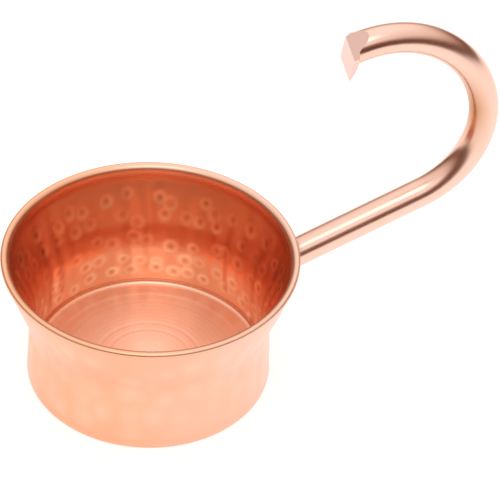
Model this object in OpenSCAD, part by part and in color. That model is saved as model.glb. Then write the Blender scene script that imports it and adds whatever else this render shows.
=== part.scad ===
// Small copper pot: a spun and hammered cup with a flared lip, and a round bar handle
// bent into an open hook. Origin at the centre of the foot, handle along +X, +Z up.

/* [Cup] */
// Outer diameter of the lip
rim_d = 100; // [97:1:103]
// Height of the cup from the foot to the top of the lip
cup_h = 50; // [46:1:54]
// Outer diameter at the foot
foot_d = 84.2; // [80:0.2:86]
// Outer diameter of the neck, where the flare begins
neck_d = 82; // [80:0.2:86]
// Height at which the wall begins to flare
flare_z = 19; // [14:1:22]
// Slope of the flare's straight upper part away from the vertical, in degrees
flare_slope = 20; // [18:1:24]
// Thickness of the copper sheet
sheet = 1.8; // [1.4:0.1:2.2]
// Width of the lip's flattened top
lip_w = 3.1; // [2.8:0.1:3.4]
// Height of the lip's rounded outer edge
lip_t = 2; // [1.8:0.1:2.2]
// Drop of the lip's top from its crown to its inner edge
lip_drop = 0.5; // [0.3:0.1:0.7]
// Outside radius of the foot's corner
foot_corner = 0.9; // [0.5:0.1:1.3]
// Inside radius between the floor and the wall
floor_fillet = 1.6; // [1:0.1:3]

/* [Handle] */
// Diameter of the handle's round bar
bar_d = 10; // [8:0.5:10.5]
// Height at which the bar's axis meets the neck's radius
root_z = 35.8; // [34:0.1:37]
// Slope of the straight shank above the horizontal, in degrees
shank_rise = 23; // [20:1:26]
// Length of the straight shank along its axis, from the neck's radius
shank_len = 58.4; // [54:0.2:64]
// Radii of the three bends of the hook, from the shank to the end
bend_r = [31.6, 39.1, 34]; // [20:0.5:60]
// Angles that the three bends turn through, in degrees
bend_a = [81, 48, 48]; // [20:1:90]

/* [Square end] */
// Side of the forged square end
end_side = 10.2; // [10:0.1:11]
// Twist of the square about the handle's line, in degrees
end_twist = 18; // [0:1:30]
// Drop of the square's centre below the bar's axis, at the end face
end_drop = 2.7; // [2:0.1:3]
// Distance from the last bend to the end face, level
end_reach = 2.6; // [2:0.1:4]
// Slope of the flat filed on top of the bar, in degrees
top_flat_rise = 37; // [30:1:40]

/* [Braze] */
// Leg of the braze fillet around the root of the bar
braze_leg = 1.2; // [0.8:0.1:1.5]

/* [Hidden] */
$fn = 96;
copper = [0.87, 0.54, 0.42];
polished_copper = [0.92, 0.63, 0.52];
braze_tan = [0.80, 0.55, 0.36];
rim_r = rim_d / 2;
foot_r = foot_d / 2;
neck_r = neck_d / 2;
bar_r = bar_d / 2;
lip_r = lip_t / 2;
// The flare's middle line is an arc from the neck, then a straight line to the lip's centre.
flare_run = rim_r - lip_r - (neck_r - sheet / 2);
flare_rise = cup_h - lip_r - flare_z;
flare_mid_r = (flare_rise * sin(flare_slope) - flare_run * cos(flare_slope)) / (1 - cos(flare_slope));
flare_straight = (flare_run - flare_mid_r * (1 - cos(flare_slope))) / sin(flare_slope);
flare_out_r = flare_mid_r - sheet / 2;
flare_c = [neck_r + flare_out_r, flare_z];
lip_c = [rim_r - lip_r, cup_h - lip_r];
// The straight part is this much thinner on each side than the arc, and starts inside it.
joint_inset = 0.02;
joint_lap = 0.5;
straight_t = sheet - 2 * joint_inset;
// The lip's crown is one arc, highest above the middle of the rounded edge.
crown_run = lip_w - lip_r;
crown_r = (crown_run * crown_run + lip_drop * lip_drop) / (2 * lip_drop);
// The lip's inner side reaches this far down inside the sheet, and leans outwards as it goes.
lip_root = 5;
lip_lean = 0.9;
// Sides of the section's large arcs, where they are drawn as facets.
fine_sides = 360;
// Headings of the bar's axis at the ends of the shank and of each bend.
turn1 = shank_rise + bend_a[0];
turn2 = turn1 + bend_a[1];
turn3 = turn2 + bend_a[2];
shank_end = [neck_r + shank_len * cos(shank_rise), root_z + shank_len * sin(shank_rise)];
function side(heading) = [sin(heading), -cos(heading)];
centre1 = shank_end - bend_r[0] * side(shank_rise);
centre2 = centre1 + (bend_r[0] - bend_r[1]) * side(turn1);
centre3 = centre2 + (bend_r[1] - bend_r[2]) * side(turn2);
bar_end = centre3 + bend_r[2] * side(turn3);
face_x = bar_end[0] - end_reach;
// The last bend runs on through the end face, so that the face cuts the whole bar.
run_on = 9;
// The thin head at the end of the bar, before it is squared: a disc with a coned back.
head_r = 10.2;
head_edge = 0.15;
head_core_r = 4.2;
head_depth = 2.4;
head_z = bar_end[1] - end_reach * tan(turn3 - 180);
square_z = head_z - end_drop;
// Slope of the other three flats, in degrees.
side_rise = 10;
// A ball this much proud of the bar joins one stretch of it to the next.
joint_proud = 0.02;
far = 60;

module sheet_outline() {
    difference() {
        union() {
            square([foot_r, sheet]);
            polygon([
                [foot_r - sheet, 0], [foot_r, 0],
                [neck_r, flare_z], [neck_r - sheet, flare_z]
            ]);
            translate([foot_r - sheet - floor_fillet, sheet]) difference() {
                square([floor_fillet + sheet / 2, floor_fillet]);
                translate([0, floor_fillet]) circle(r = floor_fillet);
            }
        }
        translate([foot_r - foot_corner, 0]) difference() {
            translate([0, -1]) square([foot_corner + 1, foot_corner + 1]);
            translate([0, foot_corner]) circle(r = foot_corner);
        }
    }
    intersection() {
        translate(flare_c) difference() {
            circle(r = flare_out_r + sheet, $fn = fine_sides);
            circle(r = flare_out_r, $fn = fine_sides);
        }
        translate(flare_c) polygon([
            [0, 0], [-2 * flare_mid_r, 0],
            [-2 * flare_mid_r, 2 * flare_mid_r * tan(flare_slope)]
        ]);
    }
    translate(lip_c) rotate(-flare_slope) translate([-straight_t / 2, -flare_straight - joint_lap])
        square([straight_t, flare_straight + joint_lap]);
    lip_outline();
}

// The sheet's edge, upset into a crowned lip that is thicker than the wall.
module lip_outline() {
    translate(lip_c) circle(r = lip_r);
    intersection() {
        translate([lip_c[0], cup_h - crown_r]) circle(r = crown_r, $fn = fine_sides);
        polygon([
            [rim_r - lip_w, cup_h], [lip_c[0], cup_h], [lip_c[0], cup_h - lip_t],
            [rim_r - lip_w + lip_lean, cup_h - lip_root], [rim_r - lip_w, cup_h - lip_root]
        ]);
    }
}

module cup() {
    color(copper) rotate_extrude() sheet_outline();
}

// Everything inside the straight part of the cup's flared outer wall, made thicker by grow.
module inside_wall(grow = 0) {
    outer_r = lip_c[0] + (straight_t / 2 + grow) / cos(flare_slope);
    lean = lip_c[1] * tan(flare_slope);
    rotate_extrude() polygon([[0, 0], [outer_r - lean, 0], [outer_r, lip_c[1]], [0, lip_c[1]]]);
}

module shank_bar(radius, length) {
    back = 8;
    translate([neck_r, 0, root_z]) rotate([0, 90 - shank_rise, 0])
        translate([0, 0, -back]) cylinder(r = radius, h = back + length);
}

module bend(centre, radius, heading, angle) {
    translate([centre[0], 0, centre[1]]) rotate([90, 0, 0]) rotate([0, 0, heading - 90])
        rotate_extrude(angle = angle) translate([radius, 0]) circle(r = bar_r);
}

// One side of the square end: a block that reaches inwards from a sloping flat.
module end_side_block(turn, rise) {
    rotate([turn, 0, 0]) translate([0, 0, end_side / 2]) rotate([0, -rise, 0])
        translate([-far, -far, -2 * far]) cube([2 * far, 2 * far, 2 * far]);
}

// The head that the bar's end is upset into, before it is squared.
module head() {
    translate([face_x, 0, head_z]) rotate([0, 90, 0]) {
        cylinder(r = head_r, h = head_edge);
        translate([0, 0, head_edge])
            cylinder(r1 = head_r, r2 = head_core_r, h = head_depth - head_edge);
    }
}

module joint_ball(centre, radius, heading) {
    at = centre + radius * side(heading);
    translate([at[0], 0, at[1]]) sphere(r = bar_r + joint_proud);
}

module square_end() {
    intersection() {
        union() {
            head();
            bend(centre3, bend_r[2], turn2, bend_a[2] + run_on);
        }
        translate([face_x, -far, square_z - far]) cube([2 * far, 2 * far, 2 * far]);
        translate([face_x, 0, square_z]) intersection_for(quarter = [0:3])
            end_side_block(end_twist + 90 * quarter, quarter == 0 ? top_flat_rise : side_rise);
    }
}

module handle() {
    color(polished_copper) {
        difference() {
            shank_bar(bar_r, shank_len);
            inside_wall();
        }
        joint_ball(centre1, bend_r[0], shank_rise);
        bend(centre1, bend_r[0], shank_rise, bend_a[0]);
        joint_ball(centre2, bend_r[1], turn1);
        bend(centre2, bend_r[1], turn1, bend_a[1]);
        joint_ball(centre3, bend_r[2], turn2);
        square_end();
    }
}

module braze_fillet() {
    color(braze_tan) difference() {
        intersection() {
            shank_bar(bar_r + braze_leg, shank_len / 2);
            inside_wall(braze_leg);
        }
        inside_wall();
        shank_bar(bar_r, shank_len);
    }
}

cup();
handle();
braze_fillet();
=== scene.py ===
import math
import random

import bpy
import numpy as np
from mathutils import Matrix, Vector


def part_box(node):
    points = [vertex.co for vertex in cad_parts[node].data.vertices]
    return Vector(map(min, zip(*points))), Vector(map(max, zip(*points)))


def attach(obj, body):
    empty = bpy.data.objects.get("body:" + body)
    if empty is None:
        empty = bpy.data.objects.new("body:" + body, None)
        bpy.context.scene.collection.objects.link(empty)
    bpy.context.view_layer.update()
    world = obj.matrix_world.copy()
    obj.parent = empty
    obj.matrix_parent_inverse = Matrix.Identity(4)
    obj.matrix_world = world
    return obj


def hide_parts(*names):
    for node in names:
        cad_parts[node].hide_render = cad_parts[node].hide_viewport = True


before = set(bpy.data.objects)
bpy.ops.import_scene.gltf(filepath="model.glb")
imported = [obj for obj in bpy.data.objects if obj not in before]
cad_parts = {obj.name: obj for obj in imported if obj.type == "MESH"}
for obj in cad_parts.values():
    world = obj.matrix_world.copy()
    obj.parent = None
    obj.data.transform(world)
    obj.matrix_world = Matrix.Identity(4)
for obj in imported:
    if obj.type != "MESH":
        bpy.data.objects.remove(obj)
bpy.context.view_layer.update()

mm = 0.001


# ---------------------------------------------------------------------------------------
# The cup. One disc of 1.8 mm copper sheet, spun over a former into a flat floor, a nearly
# straight wall and a flare whose edge is upset into a crowned lip, then hammered in rings
# from the inside with a small round punch.
# ---------------------------------------------------------------------------------------

cup_low, cup_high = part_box("cup")
rim_r = (cup_high.y - cup_low.y) / 2
lip_top = cup_high.z
sheet = 1.8 * mm
foot_r = 42.1 * mm
neck_r = 41 * mm
flare_z = 19 * mm
flare_slope = math.radians(20)
foot_corner = 0.9 * mm
floor_fillet = 1.6 * mm
lip_w = 3.1 * mm
lip_r = 1 * mm
turns_round = 420
merge_gap = 0.004 * mm

# The flare's middle line is an arc from the neck, then a straight line to the middle of the
# lip's rounded edge.
flare_run = rim_r - lip_r - (neck_r - sheet / 2)
flare_rise = lip_top - lip_r - flare_z
flare_cos, flare_sin = math.cos(flare_slope), math.sin(flare_slope)
flare_r = (flare_rise * flare_sin - flare_run * flare_cos) / (1 - flare_cos)
flare_centre = (neck_r - sheet / 2 + flare_r, flare_z)
arc_rise = flare_r * flare_sin


def wall_middle(z):
    """Radius of the sheet's middle line at a height, as a number or an array."""
    straight = foot_r + (neck_r - foot_r) * np.minimum(z, flare_z) / flare_z - sheet / 2
    rise = np.clip(z - flare_z, 0, arc_rise)
    bent = flare_r - np.sqrt(flare_r**2 - rise**2)
    return straight + bent + np.maximum(z - flare_z - arc_rise, 0) * math.tan(flare_slope)


def arc(centre, radius, start, end, steps):
    """Points on an arc of the cup's section, with angles in degrees from the outward radius."""
    angles = [math.radians(start + (end - start) * i / steps) for i in range(steps + 1)]
    return [(centre[0] + radius * math.cos(a), centre[1] + radius * math.sin(a)) for a in angles]


def floor_height(r):
    """The spinner's tool leaves rings in the floor: fine ones all over and four deeper ones, by
    their radius and depth in millimetres."""
    fine, finer = 1.9 * mm, 1.3 * mm
    ring_width = 0.6
    rings = 0.010 * math.sin(2 * math.pi * r / fine) + 0.007 * math.sin(2 * math.pi * r / finer)
    for ring, depth in ((15.0, 0.05), (18.2, 0.04), (33.0, 0.03), (36.5, 0.04)):
        rings -= depth * math.exp(-((r / mm - ring) / ring_width) ** 2)
    return sheet + rings * mm


def cup_section():
    """The cup's section, from the middle of the floor up the inside and down the outside."""
    floor_edge = foot_r - sheet - floor_fillet
    floor_steps = 70
    across = [floor_edge * i / floor_steps for i in range(floor_steps)]
    points = [(r, floor_height(r)) for r in across]
    points += arc((floor_edge, sheet + floor_fillet), floor_fillet, -90, 0, 6)
    wall_step = 0.55 * mm
    wall_low = sheet + floor_fillet
    count = round((flare_z - wall_low) / wall_step)
    inside = [wall_low + (flare_z - wall_low) * i / count for i in range(1, count + 1)]
    points += [(wall_middle(z) - sheet / 2, z) for z in inside]
    slope_deg = math.degrees(flare_slope)
    arc_steps = round(arc_rise / wall_step)
    points += arc(flare_centre, flare_r + sheet / 2, 180, 180 - slope_deg, arc_steps)[1:]
    # The straight part runs up inside and turns, without a corner, into the lip's inner side.
    lip_in = rim_r - lip_w
    half_across = sheet / 2 / flare_cos
    low_z = points[-1][1]
    lip_turn = 6.5 * mm
    turn_z = lip_top - lip_turn
    corner_z = turn_z + (lip_in - (wall_middle(turn_z) - half_across)) / math.tan(flare_slope)
    inner_round = lip_w - lip_r
    round_z = lip_top - inner_round
    count = round((turn_z - low_z) / wall_step)
    heights = [low_z + (turn_z - low_z) * i / count for i in range(1, count + 1)]
    points += [(wall_middle(z) - half_across, z) for z in heights]
    turn_r = points[-1][0]
    turn_steps = 8
    for i in range(1, turn_steps + 1):
        t = i / turn_steps
        share = ((1 - t) ** 2, 2 * t * (1 - t), t * t)
        r = share[0] * turn_r + (share[1] + share[2]) * lip_in
        points.append((r, share[0] * turn_z + share[1] * corner_z + share[2] * round_z))
    points += arc((lip_in + inner_round, round_z), inner_round, 180, 96, 12)[1:]
    points += arc((rim_r - lip_r, lip_top - lip_r), lip_r, 90, -50, 12)
    # The lip's edge closes on the flare's outer face in a fine line. The outer face is gentler
    # than the punched inner one, so its steps are twice as long.
    wall_step *= 2
    arc_steps //= 2
    lip_under = 2.2 * mm
    high_z = lip_top - lip_under
    end_z = flare_centre[1] + (flare_r - sheet / 2) * flare_sin
    count = round((high_z - end_z) / wall_step)
    heights = [high_z + (end_z - high_z) * i / count for i in range(count)]
    points += [(wall_middle(z) + half_across, z) for z in heights]
    points += arc(flare_centre, flare_r - sheet / 2, 180 - slope_deg, 180, arc_steps)
    count = round((flare_z - foot_corner) / wall_step)
    outside = [flare_z + (foot_corner - flare_z) * i / count for i in range(1, count)]
    points += [(wall_middle(z) + sheet / 2, z) for z in outside]
    points += arc((foot_r - foot_corner, foot_corner), foot_corner, 0, -90, 5)
    points += [(foot_r * 0.6, 0), (0, 0)]
    return points


def spin_section(name, points, steps):
    """Draws a section as a chain of edges and spins it round the Z axis."""
    bpy.ops.object.select_all(action="DESELECT")
    bpy.ops.mesh.primitive_plane_add(size=mm)
    piece = bpy.context.active_object
    piece.name = piece.data.name = name
    bpy.ops.object.mode_set(mode="EDIT")
    bpy.ops.mesh.merge(type="CENTER")
    bpy.ops.transform.translate(value=(points[0][0], 0, points[0][1]))
    for (r0, z0), (r1, z1) in zip(points, points[1:]):
        bpy.ops.mesh.extrude_vertices_move(TRANSFORM_OT_translate={"value": (r1 - r0, 0, z1 - z0)})
    bpy.ops.mesh.select_all(action="SELECT")
    bpy.ops.mesh.spin(steps=steps, angle=2 * math.pi, center=(0, 0, 0), axis=(0, 0, 1))
    bpy.ops.mesh.select_all(action="SELECT")
    bpy.ops.mesh.remove_doubles(threshold=merge_gap)
    bpy.ops.mesh.normals_make_consistent(inside=False)
    bpy.ops.object.mode_set(mode="OBJECT")
    return piece


cup = spin_section("hammered_cup", cup_section(), turns_round)

# The blows fall in five uneven rings, about 8 mm apart, each from the end of a round punch.
dice = random.Random(41)
ring_heights = (37.8, 31.2, 22.3, 14.2, 7.4)
blows_round = 34
stray_angle, stray_height = 0.07, 2.2
blow_sizes, blow_strengths = (2.8, 3.6), (0.5, 1.15)
blows = []
for ring, height in enumerate(ring_heights):
    count = blows_round - ring % 2
    for i in range(count):
        evenly = 2 * math.pi * (i + 0.5 * (ring % 2)) / count
        angle = evenly + dice.uniform(-stray_angle, stray_angle)
        z = height + dice.uniform(-stray_height, stray_height)
        blows.append((angle, z * mm, dice.uniform(*blow_sizes) * mm, dice.uniform(*blow_strengths)))

# Slow waves in the wall, left by the spinning and the hammering: waves round, height, phase.
waves = [(n, dice.uniform(-60, 60), dice.uniform(0, 6.28)) for n in (8, 13, 21, 29, 36, 44)]

wave_depth = 0.06 * mm
plain_foot, plain_rim = 4 * mm, 5 * mm
foot_fade, rim_fade = 6 * mm, 8 * mm
count = len(cup.data.vertices)
place = np.empty(count * 3)
cup.data.vertices.foreach_get("co", place)
place = place.reshape(-1, 3)
radius = np.hypot(place[:, 0], place[:, 1])
azimuth = np.arctan2(place[:, 1], place[:, 0])
height = place[:, 2]
wall_top = lip_top - plain_rim
on_wall = (height > sheet + floor_fillet) & (height < wall_top)
inner = on_wall & (radius < wall_middle(height)) & (radius > wall_middle(height) - 1.2 * sheet)
outer = on_wall & (radius > wall_middle(height))
fade = np.clip((height - plain_foot) / foot_fade, 0, 1) * np.clip((wall_top - height) / rim_fade, 0, 1)
push = np.zeros(count)
for around, along, phase in waves:
    wave = np.sin(around * azimuth + along * height + phase)
    push += np.where(on_wall, fade * wave_depth * wave, 0)

# Each blow leaves a dish with a low raised edge inside, and a soft rise on the outer face. The
# punch leaves a pale ring, partly burnish and partly painted highlight, round a middle darkened
# as painted shade; on the outer face the rise gets a pale patch, partly mop polish and partly
# painted highlight. All widths are shares of the blow's own radius.
dent_depth = 0.10 * mm
inner_reach, outer_reach = 1.6, 3.2
dish_slope = 0.75
raised_at, raised_width, raised_share = 1.12, 0.2, 0.16
bright_at, bright_width = 0.62, 0.24
dull_width, dull_share = 0.26, 0.45
rise_width, rise_share = 1.2, 0.35
patch_width, patch_share, patch_from = 1.3, 0.5, 0.5
burnish = np.zeros(count)
for angle, z, size, strength in blows:
    across = (azimuth - angle + math.pi) % (2 * math.pi) - math.pi
    away = np.hypot(across * radius, height - z) / size
    near = inner & (away < inner_reach)
    a = away[near]
    slope = np.clip((1.0 - a) / dish_slope, 0, 1)
    dish = slope * slope * (3 - 2 * slope)
    raised = np.exp(-(((a - raised_at) / raised_width) ** 2))
    push[near] += strength * (dish - raised_share * raised) * dent_depth
    # The ring's pale part is partly burnish and partly painted highlight; the middle, pushed below zero, is
    # painted shade.
    ring_mark = np.exp(-(((a - bright_at) / bright_width) ** 2))
    ring_mark -= dull_share * np.exp(-((a / dull_width) ** 2))
    ring_mark *= strength
    burnish[near] = np.where(ring_mark > 0, np.maximum(burnish[near], ring_mark), ring_mark)
    near = outer & (away < outer_reach)
    a = away[near]
    push[near] += strength * rise_share * np.exp(-((a / rise_width) ** 2)) * dent_depth
    # The outer patch is partly mop polish and partly painted highlight.
    patch = patch_share * (strength - patch_from) * np.exp(-((a / patch_width) ** 2))
    burnish[near] = np.maximum(burnish[near], patch)
place[:, 0] += np.cos(azimuth) * push
place[:, 1] += np.sin(azimuth) * push
cup.data.vertices.foreach_set("co", place.ravel())
cup.data.attributes.new("burnish", "FLOAT", "POINT").data.foreach_set("value", burnish)

# The inside's painted shade, a darker and redder tone, fades out near the top, and ends 1 mm below the lip's
# crown.
red_end, red_fade = lip_top - 1 * mm, 4 * mm
inside = np.where((radius < wall_middle(height)) & (height > 2 * sheet), 1.0, 0.0)
inside *= np.clip((red_end - height) / red_fade, 0, 1)
cup.data.attributes.new("inside", "FLOAT", "POINT").data.foreach_set("value", inside)
cup.data.update()

for face in cup.data.polygons:
    face.use_smooth = True


def linear(hex_colour, alpha=1.0):
    """An sRGB colour such as "c87456" as the linear colour that a shader takes."""
    parts = [int(hex_colour[i : i + 2], 16) / 255 for i in (0, 2, 4)]
    parts = [c / 12.92 if c <= 0.04045 else ((c + 0.055) / 1.055) ** 2.4 for c in parts]
    return (*parts, alpha)


def add(tree, kind, inputs=None, **settings):
    """Adds a node with its settings. An input is a value, a hex colour or a socket to link."""
    node = tree.nodes.new(kind)
    for key, value in settings.items():
        setattr(node, key, value)
    for key, value in (inputs or {}).items():
        if isinstance(value, bpy.types.NodeSocket):
            tree.links.new(value, node.inputs[key])
        else:
            node.inputs[key].default_value = linear(value) if isinstance(value, str) else value
    return node


def new_material(name):
    material = bpy.data.materials.new(name)
    material.use_nodes = True
    material.node_tree.nodes.clear()
    return material, material.node_tree


def from_axis(tree, where, keep_height):
    """Coordinates that stay the same round the cup: the distance from its axis, and the height."""
    axes = add(tree, "ShaderNodeSeparateXYZ", {0: where})
    level = add(tree, "ShaderNodeCombineXYZ", {0: axes.outputs[0], 1: axes.outputs[1]})
    measure = add(tree, "ShaderNodeVectorMath", {0: level.outputs[0]}, operation="LENGTH")
    parts = {0: measure.outputs["Value"]}
    if keep_height:
        parts[2] = axes.outputs[2]
    return add(tree, "ShaderNodeCombineXYZ", parts).outputs[0]


# Hammered satin copper: acid-cleaned bare sheet with the spinner's faint lines round it, and
# punch marks with pale rims, partly burnish and partly painted highlight, round painted shade.
# The side towards the handle is painted a paler pink as a painted highlight, and the inside is
# painted a darker, redder tone as painted shade of the hollow.
hammered, tree = new_material("hammered_satin_copper")
where = add(tree, "ShaderNodeTexCoord").outputs["Object"]
spun_line, cloud_size = 0.5 * mm, 14 * mm
round_it = from_axis(tree, where, True)
spun = add(tree, "ShaderNodeTexNoise",
           {"Vector": round_it, "Scale": 1 / spun_line, "Detail": 3.0, "Roughness": 0.6})
cloud = add(tree, "ShaderNodeTexNoise",
            {"Vector": where, "Scale": 1 / cloud_size, "Detail": 4.0, "Roughness": 0.6}).outputs["Fac"]
outer_tone = add(tree, "ShaderNodeMix", {0: cloud, 6: "f0ae88", 7: "f8c09e"}, data_type="RGBA")
axes = add(tree, "ShaderNodeSeparateXYZ", {0: where})
# Painted highlight: the outer tone turns a paler pink towards +X, the handle's side, for the brighter
# reflection that side catches.
heat_start, heat_full, heat_share = -20 * mm, 45 * mm, 0.9
near_root = add(tree, "ShaderNodeMapRange", {0: axes.outputs[0], 1: heat_start, 2: heat_full, 4: heat_share})
heated_tone = add(tree, "ShaderNodeMix",
                  {0: near_root.outputs[0], 6: outer_tone.outputs[2], 7: "f5cab6"}, data_type="RGBA")
# Painted shade: the inside mask turns the tone into a darker, redder copy of the sheet, faded out towards
# the lip.
within = add(tree, "ShaderNodeAttribute", attribute_name="inside").outputs["Fac"]
inner_tone = add(tree, "ShaderNodeMix", {0: cloud, 6: "ee9a74", 7: "f5ae8a"}, data_type="RGBA")
sheet_tone = add(tree, "ShaderNodeMix",
                 {0: within, 6: heated_tone.outputs[2], 7: inner_tone.outputs[2]}, data_type="RGBA")
# Painted light in the marks: where the mark is positive, pale rings and patches, partly burnish and partly
# painted highlight, lighten the tone; where it is negative, painted shade darkens the dents' middles towards
# cf8f6c.
mark = add(tree, "ShaderNodeAttribute", attribute_name="burnish").outputs["Fac"]
bright_mark = add(tree, "ShaderNodeMapRange", {0: mark, 1: 0.0, 2: 1.15})
dark_mark = add(tree, "ShaderNodeMapRange", {0: mark, 1: 0.0, 2: -0.6})
bright_tone = add(tree, "ShaderNodeMix", {0: within, 6: "ffe0cc", 7: "ffc8a6"}, data_type="RGBA")
burnished = add(tree, "ShaderNodeMix",
                {0: bright_mark.outputs[0], 6: sheet_tone.outputs[2], 7: bright_tone.outputs[2]},
                data_type="RGBA")
tone = add(tree, "ShaderNodeMix", {0: dark_mark.outputs[0], 6: burnished.outputs[2], 7: "cf8f6c"},
           data_type="RGBA")
rough = add(tree, "ShaderNodeMapRange", {0: cloud, 3: 0.26, 4: 0.34})
lines = add(tree, "ShaderNodeBump", {"Height": spun.outputs["Fac"], "Strength": 0.12, "Distance": 0.05 * mm})
shader = add(tree, "ShaderNodeBsdfPrincipled", {
    "Base Color": tone.outputs[2], "Roughness": rough.outputs[0], "Normal": lines.outputs["Normal"],
    "Metallic": 1.0,
})
add(tree, "ShaderNodeOutputMaterial", {"Surface": shader.outputs["BSDF"]})
cup.data.materials.append(hammered)

# Spun copper floor: the same sheet, left with the lathe tool's rings, which draw the light
# out into a fan across the rings. Its tone is painted much paler than the wall's, as a painted
# highlight. The grooves are drawn coarser than real ones, so that they show.
spun_floor, tree = new_material("lathe_ringed_copper_painted_highlight")
where = add(tree, "ShaderNodeTexCoord").outputs["Object"]
groove_width = 1.5 * mm
out_from_axis = from_axis(tree, where, False)
grooves = add(tree, "ShaderNodeTexNoise", {
    "Vector": out_from_axis, "Scale": 1 / groove_width, "Detail": 2.0, "Roughness": 0.6,
}).outputs["Fac"]
# Painted highlight: the floor's tone is a much paler copy of the wall's copper.
tone = add(tree, "ShaderNodeMix", {0: grooves, 6: "fcd6c0", 7: "ffe6d6"}, data_type="RGBA")
rough = add(tree, "ShaderNodeMapRange", {0: grooves, 3: 0.25, 4: 0.35})
lines = add(tree, "ShaderNodeBump", {"Height": grooves, "Strength": 0.10, "Distance": 0.04 * mm})
around = add(tree, "ShaderNodeTangent", direction_type="RADIAL", axis="Z")
shader = add(tree, "ShaderNodeBsdfPrincipled", {
    "Base Color": tone.outputs[2], "Roughness": rough.outputs[0], "Normal": lines.outputs["Normal"],
    "Tangent": around.outputs[0], "Metallic": 1.0, "Anisotropic": 0.7, "Anisotropic Rotation": 0.25,
})
add(tree, "ShaderNodeOutputMaterial", {"Surface": shader.outputs["BSDF"]})
cup.data.materials.append(spun_floor)
for face in cup.data.polygons:
    c = face.center
    in_floor = math.hypot(c.x, c.y) < foot_r - sheet - floor_fillet * 0.7 and c.z > sheet / 2
    face.material_index = 1 if in_floor and c.z < 2 * sheet else 0

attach(cup, "root")
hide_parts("cup")


# ---------------------------------------------------------------------------------------
# The handle. One 10 mm copper bar, cut to fit the wall at its root, drawn into a hook in
# three sweeps, and upset at its end into a thin head that is filed square, then polished.
# ---------------------------------------------------------------------------------------

bar_r = 4.98 * mm
root_z = 35.8 * mm
shank_rise = 23
shank_len = 58.4 * mm
bends = ((31.6 * mm, 81), (39.1 * mm, 48), (34 * mm, 48))
bar_sides = 96


def heading(degrees):
    """The direction that the bar runs in, at an angle above +X."""
    return Vector((math.cos(math.radians(degrees)), 0, math.sin(math.radians(degrees))))


def left_of(degrees):
    """The direction from the bar's axis to the centre of a bend."""
    return heading(degrees + 90)


def to_wall(point, along, gap):
    """Slides a point along a direction until it is a gap outside the cup's outer wall."""
    near, far = -20 * mm, 40 * mm
    for _ in range(40):
        middle = (near + far) / 2
        at = point + along * middle
        outside = math.hypot(at.x, at.y) - wall_middle(at.z) - (sheet / 2 + gap) / flare_cos
        near, far = (near, middle) if outside > 0 else (middle, far)
    return point + along * near


root = Vector((neck_r, 0, root_z))
bpy.ops.object.select_all(action="DESELECT")
bpy.ops.mesh.primitive_circle_add(
    vertices=bar_sides, radius=bar_r, fill_type="TRIFAN", location=root,
    rotation=(0, math.radians(90 - shank_rise), 0),
)
handle = bpy.context.active_object
handle.name = handle.data.name = "hook_handle"
bpy.ops.object.transform_apply(location=True, rotation=True, scale=True)
root_lap = 0.1 * mm
first_pull = 20 * mm
for vertex in handle.data.vertices:
    vertex.co = to_wall(vertex.co, heading(shank_rise), -root_lap)
bpy.ops.object.mode_set(mode="EDIT")
bpy.ops.mesh.select_mode(type="EDGE")
bpy.ops.mesh.select_all(action="SELECT")
bpy.ops.mesh.region_to_loop()
bpy.ops.mesh.extrude_region_move(TRANSFORM_OT_translate={"value": heading(shank_rise) * first_pull})
bpy.ops.object.mode_set(mode="OBJECT")
axis_at = root + heading(shank_rise) * shank_len
for vertex in handle.data.vertices:
    if vertex.select:
        vertex.co += heading(shank_rise) * (axis_at - vertex.co).dot(heading(shank_rise))
bpy.ops.object.mode_set(mode="EDIT")
turned = shank_rise
ring_apart = 1.2
centres = []
for bend_r, bend_a in bends:
    centre = axis_at + left_of(turned) * bend_r
    bpy.ops.mesh.spin(
        steps=round(bend_a / ring_apart), angle=math.radians(bend_a), center=centre, axis=(0, 1, 0)
    )
    turned += bend_a
    centres.append(centre)
    axis_at = centre - left_of(turned) * bend_r

# The last bend runs on through the end face in fine steps, which the head is raised from.
bar_end = axis_at.copy()
end_reach = 2.6 * mm
face_x = bar_end.x - end_reach
head_z = bar_end.z - end_reach * math.tan(math.radians(turned - 180))
run_on = 18
run_on_steps = 80
bpy.ops.mesh.spin(steps=run_on_steps, angle=math.radians(run_on), center=centre, axis=(0, 1, 0))
bpy.ops.mesh.edge_face_add()
bpy.ops.object.mode_set(mode="OBJECT")

# The head: a disc with a coned back, level with the end face, and a small fillet to the bar.
head_r = 10.2 * mm
head_edge = 0.15 * mm
cone_run = 6 * mm
cone_depth = 2.25 * mm
head_fillet = 0.5 * mm
fillet_from = -2 * mm
head_widest = 12 * mm
head_back = face_x + 7 * mm
head_low = 100 * mm


def head_radius(x):
    """Radius of the head about its own level axis, at a place along X."""
    return head_r - max(x - face_x - head_edge, 0) * cone_run / cone_depth


for vertex in handle.data.vertices:
    off = vertex.co - centre
    if off.x > 0 or vertex.co.x > head_back or vertex.co.z < head_low:
        continue
    spoke = Vector((off.x, 0, off.z)).normalized() * bends[-1][0]
    axis_at = centre + spoke
    outward = (vertex.co - axis_at).normalized()
    near, far = 0, 20 * mm
    for _ in range(30):
        middle = (near + far) / 2
        at = axis_at + outward * middle
        in_head = math.hypot(at.y, at.z - head_z) < head_radius(at.x)
        near, far = (middle, far) if in_head else (near, middle)
    gap = near - bar_r
    raised = bar_r + (gap + math.hypot(gap, head_fillet)) / 2 if gap > fillet_from else bar_r
    vertex.co = axis_at + outward * min(raised, head_widest)

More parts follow.
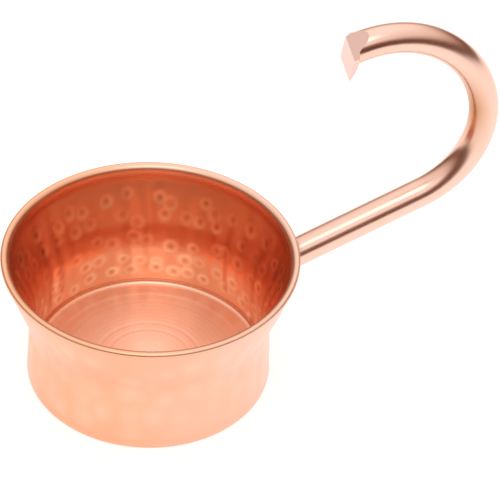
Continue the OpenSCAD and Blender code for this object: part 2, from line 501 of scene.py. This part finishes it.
# Squaring: the end is cut off upright, then one flat is filed on each side of it, the top one
# steeply, so that it runs out in a scallop on the round bar.
end_side = 10.2 * mm
end_twist = 18
end_drop = 2.7 * mm
flat_rises = (37, 10, 10, 10)
filed_reach = 22 * mm
face_middle = Vector((face_x, 0, head_z - end_drop))
cuts = [(face_middle, Vector((-1, 0, 0)))]
for quarter, rise in enumerate(flat_rises):
    turn = Matrix.Rotation(math.radians(end_twist + 90 * quarter), 3, "X")
    outward = turn @ Vector((-math.sin(math.radians(rise)), 0, math.cos(math.radians(rise))))
    cuts.append((face_middle + turn @ Vector((0, 0, end_side / 2)), outward))
for at, outward in cuts:
    for face in handle.data.polygons:
        face.select = (face.center - bar_end).length < filed_reach
    bpy.ops.object.mode_set(mode="EDIT")
    bpy.ops.mesh.select_mode(type="FACE")
    bpy.ops.mesh.bisect(
        plane_co=at, plane_no=outward, use_fill=True, clear_outer=True, threshold=0.0005 * mm
    )
    bpy.ops.object.mode_set(mode="OBJECT")

bpy.ops.object.mode_set(mode="EDIT")
bpy.ops.mesh.select_all(action="SELECT")
bpy.ops.mesh.remove_doubles(threshold=merge_gap)
bpy.ops.mesh.normals_make_consistent(inside=False)
bpy.ops.object.mode_set(mode="OBJECT")
bpy.ops.object.shade_smooth_by_angle(angle=math.radians(14))

# The inner side of the first bend is toned browner, and the tone fades out along the second.
tint_from, tint_in, tint_to, tint_out = -25, 40, 60, 50
tint_edge, tint_across = -0.25, 1.1
tint = []
for vertex in handle.data.vertices:
    off = vertex.co - centres[0]
    swung = math.degrees(math.atan2(off.z, off.x))
    grows = min(max((swung - tint_from) / tint_in, 0), 1)
    fades = min(max((tint_to - swung) / tint_out, 0), 1)
    inward = (bends[0][0] - math.hypot(off.x, off.z)) / bar_r
    spreads = min(max((inward - tint_edge) / tint_across, 0), 1)
    tint.append(grows * fades * spreads if off.x > 0 else 0)
handle.data.attributes.new("heat_tint", "FLOAT", "POINT").data.foreach_set("value", tint)

# Polished copper bar: drawn bar taken to a soft shine on a mop, with a trace of grain left.
polished, tree = new_material("polished_copper_bar")
where = add(tree, "ShaderNodeTexCoord").outputs["Object"]
cloud_size, grain = 9 * mm, 0.35 * mm
cloud = add(tree, "ShaderNodeTexNoise",
            {"Vector": where, "Scale": 1 / cloud_size, "Detail": 3.0, "Roughness": 0.6}).outputs["Fac"]
fine = add(tree, "ShaderNodeTexNoise",
           {"Vector": where, "Scale": 1 / grain, "Detail": 2.0, "Roughness": 0.6}).outputs["Fac"]
clean_tone = add(tree, "ShaderNodeMix", {0: cloud, 6: "f2c4b0", 7: "f7cebc"}, data_type="RGBA")
# This attribute only marks where the inner side of the bends is toned browner, towards c48c62.
tinted = add(tree, "ShaderNodeAttribute", attribute_name="heat_tint").outputs["Fac"]
tone = add(tree, "ShaderNodeMix", {0: tinted, 6: clean_tone.outputs[2], 7: "c48c62"}, data_type="RGBA")
rough = add(tree, "ShaderNodeMapRange", {0: cloud, 3: 0.22, 4: 0.28})
lines = add(tree, "ShaderNodeBump", {"Height": fine, "Strength": 0.04, "Distance": 0.02 * mm})
shader = add(tree, "ShaderNodeBsdfPrincipled", {
    "Base Color": tone.outputs[2], "Roughness": rough.outputs[0], "Normal": lines.outputs["Normal"],
    "Metallic": 1.0,
})
add(tree, "ShaderNodeOutputMaterial", {"Surface": shader.outputs["BSDF"]})
handle.data.materials.append(polished)

# Filed copper flats: the square end is left from a smooth file, greyer and duller than the bar.
filed, tree = new_material("filed_copper_flats")
where = add(tree, "ShaderNodeTexCoord").outputs["Object"]
stroke_width = 0.6 * mm
strokes = add(tree, "ShaderNodeTexNoise",
              {"Vector": where, "Scale": 1 / stroke_width, "Detail": 4.0, "Roughness": 0.6}).outputs["Fac"]
tone = add(tree, "ShaderNodeMix", {0: strokes, 6: "ecc6ba", 7: "f3d2c8"}, data_type="RGBA")
rough = add(tree, "ShaderNodeMapRange", {0: strokes, 3: 0.28, 4: 0.40})
lines = add(tree, "ShaderNodeBump", {"Height": strokes, "Strength": 0.06, "Distance": 0.02 * mm})
shader = add(tree, "ShaderNodeBsdfPrincipled", {
    "Base Color": tone.outputs[2], "Roughness": rough.outputs[0], "Normal": lines.outputs["Normal"],
    "Metallic": 1.0,
})
add(tree, "ShaderNodeOutputMaterial", {"Surface": shader.outputs["BSDF"]})
handle.data.materials.append(filed)
on_plane, same_way = 0.01 * mm, 0.999
for face in handle.data.polygons:
    for at, outward in cuts:
        level = abs((face.center - at).dot(outward)) < on_plane
        if level and face.normal.dot(outward) > same_way:
            face.material_index = 1

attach(handle, "root")
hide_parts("handle")


# ---------------------------------------------------------------------------------------
# The braze. A ring of filler metal that ran into the corner between the bar and the wall,
# and was dressed smooth.
# ---------------------------------------------------------------------------------------

braze_leg = 1.2 * mm
braze_sides = 8
bpy.ops.object.select_all(action="DESELECT")
bpy.ops.mesh.primitive_torus_add(
    major_segments=bar_sides, minor_segments=braze_sides, major_radius=bar_r, minor_radius=braze_leg
)
braze = bpy.context.active_object
braze.name = braze.data.name = "braze_ring"
lean = Matrix.Rotation(math.radians(90 - shank_rise), 3, "Y")
for index, vertex in enumerate(braze.data.vertices):
    around = 2 * math.pi * (index // braze_sides) / bar_sides
    step = index % braze_sides
    if step == braze_sides - 1:
        off_bar, off_wall = -root_lap, -root_lap
    else:
        curve = math.pi / 2 * step / (braze_sides - 2)
        off_bar, off_wall = braze_leg * (1 - math.sin(curve)), braze_leg * (1 - math.cos(curve))
    ring = Vector((math.cos(around), math.sin(around), 0)) * (bar_r + off_bar)
    vertex.co = to_wall(root + lean @ ring, heading(shank_rise), off_wall)
bpy.ops.object.mode_set(mode="EDIT")
bpy.ops.mesh.select_all(action="SELECT")
bpy.ops.mesh.normals_make_consistent(inside=False)
bpy.ops.object.mode_set(mode="OBJECT")
bpy.ops.object.shade_smooth_by_angle(angle=math.radians(50))

# Dressed copper braze: filler a little yellower than the copper, with a finely pitted skin.
filler, tree = new_material("dressed_copper_braze")
where = add(tree, "ShaderNodeTexCoord").outputs["Object"]
pit_size = 1.5 * mm
pits = add(tree, "ShaderNodeTexNoise",
           {"Vector": where, "Scale": 1 / pit_size, "Detail": 4.0, "Roughness": 0.6}).outputs["Fac"]
tone = add(tree, "ShaderNodeMix", {0: pits, 6: "e0a679", 7: "f0c39a"}, data_type="RGBA")
rough = add(tree, "ShaderNodeMapRange", {0: pits, 3: 0.25, 4: 0.45})
lines = add(tree, "ShaderNodeBump", {"Height": pits, "Strength": 0.3, "Distance": 0.1 * mm})
shader = add(tree, "ShaderNodeBsdfPrincipled", {
    "Base Color": tone.outputs[2], "Roughness": rough.outputs[0], "Normal": lines.outputs["Normal"],
    "Metallic": 1.0,
})
add(tree, "ShaderNodeOutputMaterial", {"Surface": shader.outputs["BSDF"]})
braze.data.materials.append(filler)
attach(braze, "root")
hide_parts("braze_fillet")


# ---------------------------------------------------------------------------------------
# The studio: a white acrylic table lit from below, a white tent over it from front to back
# with dim sides, a dark room past the table's front edge, a softbox, and the camera.
# ---------------------------------------------------------------------------------------

view_side = math.radians(19)
view_down = math.radians(40.04)
toward_camera = Vector((
    -math.sin(view_side) * math.cos(view_down),
    -math.cos(view_side) * math.cos(view_down),
    math.sin(view_down),
))
table_front = 0.3
table_size = 6
bpy.ops.mesh.primitive_plane_add(
    size=table_size, rotation=(0, 0, -view_side),
    location=(
        math.sin(view_side) * (table_size / 2 - table_front),
        math.cos(view_side) * (table_size / 2 - table_front),
        0,
    ),
)
table = bpy.context.active_object
table.name = "table"
acrylic, tree = new_material("lit_white_acrylic")
shader = add(tree, "ShaderNodeBsdfPrincipled", {
    "Base Color": "d0d0d0", "Roughness": 0.9, "Emission Color": "f0f0f0", "Emission Strength": 0.68,
})
add(tree, "ShaderNodeOutputMaterial", {"Surface": shader.outputs["BSDF"]})
table.data.materials.append(acrylic)

world = bpy.data.worlds.new("light_tent")
bpy.context.scene.world = world
world.use_nodes = True
tree = world.node_tree
tree.nodes.clear()
way = add(tree, "ShaderNodeTexCoord").outputs["Generated"]
axes = add(tree, "ShaderNodeSeparateXYZ", {0: way})
to_lens = (-math.sin(view_side), -math.cos(view_side), 0)
to_right = (math.cos(view_side), -math.sin(view_side), 0)
front = add(tree, "ShaderNodeVectorMath", {0: way, 1: to_lens}, operation="DOT_PRODUCT")
aside = add(tree, "ShaderNodeVectorMath", {0: way, 1: to_right}, operation="DOT_PRODUCT")
sideways = add(tree, "ShaderNodeMath", {0: aside.outputs["Value"]}, operation="ABSOLUTE")
to_front = add(tree, "ShaderNodeMapRange", {0: front.outputs["Value"], 1: -0.2, 2: 0.35},
               interpolation_type="SMOOTHSTEP")
to_side = add(tree, "ShaderNodeMapRange", {0: sideways.outputs[0], 1: 0.25, 2: 0.65},
              interpolation_type="SMOOTHSTEP")

# How bright the tent is in front, behind and beside, by the sine of the angle above the table.
front_stops = (
    (0.0, "5a3624"), (0.25, "5e3a28"), (0.38, "7e5846"), (0.47, "f4f4f4"),
    (0.62, "ececec"), (0.72, "d0d0d0"), (0.85, "dcdcdc"), (1.0, "e4e4e4"),
)
back_stops = (
    (0.0, "8c7e76"), (0.2, "a0948c"), (0.34, "c0b8b2"), (0.48, "dcd8d4"),
    (0.58, "eeecea"), (1.0, "f0f0f0"),
)
side_stops = (
    (0.0, "46281a"), (0.26, "6e4c3a"), (0.42, "b4a69c"), (0.6, "d4ccc6"), (1.0, "e4e4e4"),
)
bands = []
for stops in (front_stops, back_stops, side_stops):
    ramp = add(tree, "ShaderNodeValToRGB", {0: axes.outputs[2]})
    elements = ramp.color_ramp.elements
    elements.remove(elements[-1])
    elements[0].position, elements[0].color = stops[0][0], linear(stops[0][1])
    for at, colour in stops[1:]:
        elements.new(at).color = linear(colour)
    bands.append(ramp.outputs[0])
tent = add(tree, "ShaderNodeMix", {0: to_front.outputs[0], 6: bands[1], 7: bands[0]}, data_type="RGBA")
tent = add(tree, "ShaderNodeMix", {0: to_side.outputs[0], 6: tent.outputs[2], 7: bands[2]},
           data_type="RGBA")
lit = add(tree, "ShaderNodeBackground", {"Color": tent.outputs[2], "Strength": 1.4})
seen = add(tree, "ShaderNodeBackground", {"Color": "ffffff", "Strength": 1.0})
ray = add(tree, "ShaderNodeLightPath")
both = add(tree, "ShaderNodeMixShader",
           {0: ray.outputs["Is Camera Ray"], 1: lit.outputs[0], 2: seen.outputs[0]})
add(tree, "ShaderNodeOutputWorld", {"Surface": both.outputs[0]})

softbox_data = bpy.data.lights.new("softbox", "AREA")
softbox_data.shape = "RECTANGLE"
softbox_data.size, softbox_data.size_y = 0.6, 0.4
softbox_data.energy = 1.1
softbox = bpy.data.objects.new("softbox", softbox_data)
bpy.context.scene.collection.objects.link(softbox)
softbox.location = (-0.14, -0.41, 1.02)
cup_middle = Vector((0, 0, 0.04))
softbox.rotation_euler = (cup_middle - softbox.location).to_track_quat("-Z", "Y").to_euler()

bpy.context.scene.view_settings.view_transform = "Standard"

camera_data = bpy.data.cameras.new("camera")
camera_data.lens = 144
camera_data.sensor_width = 36
camera = bpy.data.objects.new("camera", camera_data)
bpy.context.scene.collection.objects.link(camera)
looked_at = Vector((32.94, -5.18, 49.0)) * mm
camera_roll = math.radians(3.7)
camera_away = 671.1
camera.location = looked_at + toward_camera * camera_away * mm
turn = toward_camera.to_track_quat("Z", "Y").to_matrix() @ Matrix.Rotation(camera_roll, 3, "Z")
camera.rotation_euler = turn.to_euler()
camera_data.clip_start, camera_data.clip_end = 0.05, 20
bpy.context.scene.camera = camera
